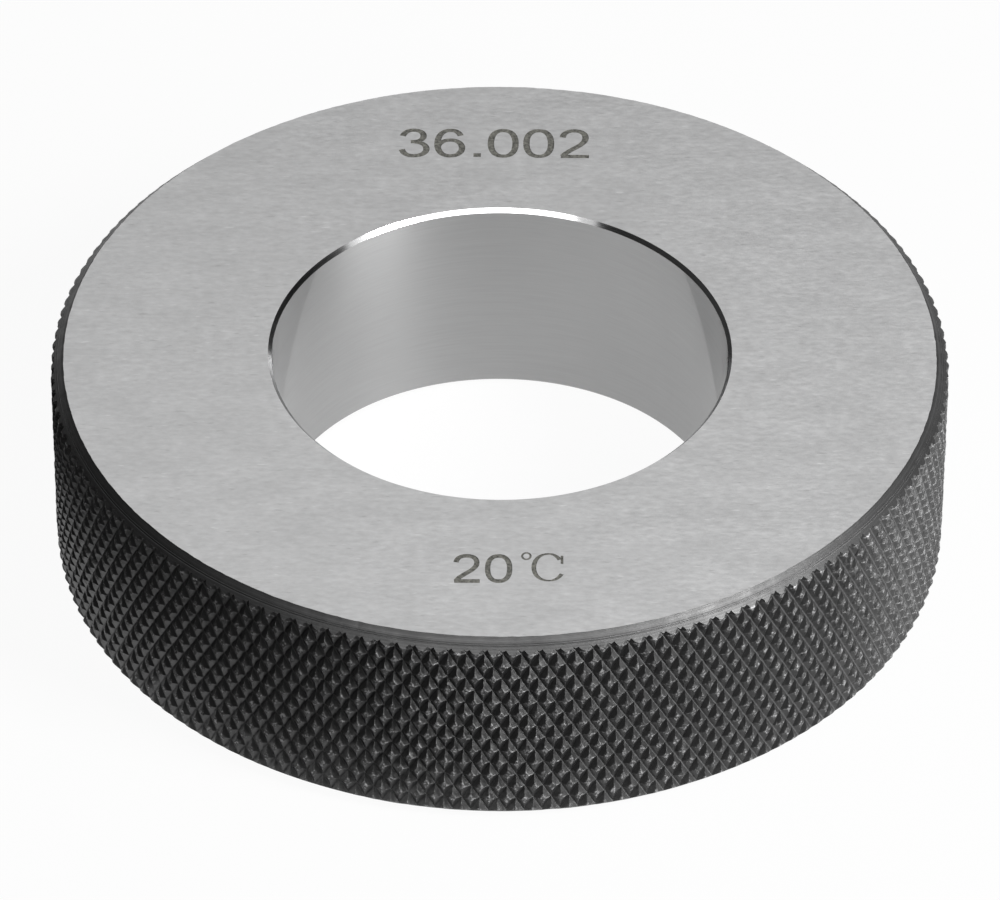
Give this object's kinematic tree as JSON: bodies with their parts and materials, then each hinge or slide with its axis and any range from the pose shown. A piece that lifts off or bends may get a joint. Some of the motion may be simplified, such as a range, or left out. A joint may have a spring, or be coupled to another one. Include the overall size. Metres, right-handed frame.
{
  "type": "setting ring gauge",
  "caption": "One-piece steel setting ring with a finished bore, flat lapped faces and a diamond-knurled rim, for setting bore gauges.",
  "frame": {"origin": "centre of the bore at the lower face", "axes": "+Z along the bore axis, towards the marked upper face"},
  "size_m": [0.071, 0.071, 0.0178],
  "materials": {
    "steel": "lapped bright faces, honed bore, blackened knurl and outer chamfers"
  },
  "bodies": {
    "root": {"ring": "steel"}
  },
  "joints": []
}
